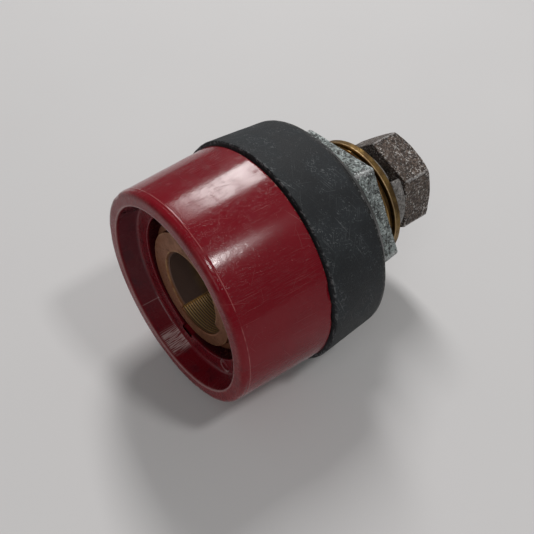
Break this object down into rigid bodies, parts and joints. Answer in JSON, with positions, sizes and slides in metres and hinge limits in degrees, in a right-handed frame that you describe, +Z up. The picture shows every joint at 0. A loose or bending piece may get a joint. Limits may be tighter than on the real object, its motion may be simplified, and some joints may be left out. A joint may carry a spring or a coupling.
{
  "type": "panel-mount welding cable socket",
  "caption": "Round panel socket for a welding cable: moulded shroud with a recessed brass contact, rubber ring, thin hexagon clamp nut and hexagon terminal bolt with washers.",
  "frame": {"origin": "on the socket's axis, in the clamp plane where the back face of the shroud meets the front of the panel", "axes": "+Y along the socket's axis from the mouth to the terminal bolt, +Z up as the socket sits in an upright panel, X across"},
  "size_m": [0.0414, 0.0532, 0.0414],
  "materials": {
    "red_moulding": "glossy dark red phenolic moulding, finely scratched",
    "contact_brass": "machined brass, tarnished brown",
    "washer_brass": "plain brass with bright edges",
    "pin_steel": "plain ground steel",
    "black_rubber": "matte black rubber, dusty",
    "nut_zinc": "galvanised steel, mottled grey",
    "bolt_zinc": "galvanised steel, mottled grey-brown"
  },
  "bodies": {
    "socket_body": {"shroud": "red_moulding", "contact_socket": "contact_brass", "locating_pin": "pin_steel"},
    "rear_ring": {"insulating_ring": "black_rubber"},
    "nut": {"clamp_nut": "nut_zinc"},
    "washers": {"flat_washer": "washer_brass", "spring_washer": "bolt_zinc"},
    "bolt": {"terminal_bolt": "bolt_zinc"}
  },
  "joints": [
    {"name": "ring_slide", "type": "slide", "parent": "socket_body", "child": "rear_ring", "axis": [0, 1, 0], "range_m": [0, 0.00225]},
    {"name": "nut_spin", "type": "hinge", "parent": "rear_ring", "child": "nut", "pos_m": [0, 0, 0], "axis": [0, 1, 0], "range_deg": [0, 540]},
    {"name": "washer_slide", "type": "slide", "parent": "socket_body", "child": "washers", "axis": [0, 1, 0], "range_m": [0, 0.006]},
    {"name": "bolt_spin", "type": "hinge", "parent": "washers", "child": "bolt", "pos_m": [0, 0, 0], "axis": [0, 1, 0], "range_deg": [0, 1440]}
  ],
  "couplings": [
    {"joint": "nut_spin", "follows": "ring_slide", "rad_per_m": 4188.7},
    {"joint": "bolt_spin", "follows": "washer_slide", "rad_per_m": 4188.7}
  ]
}
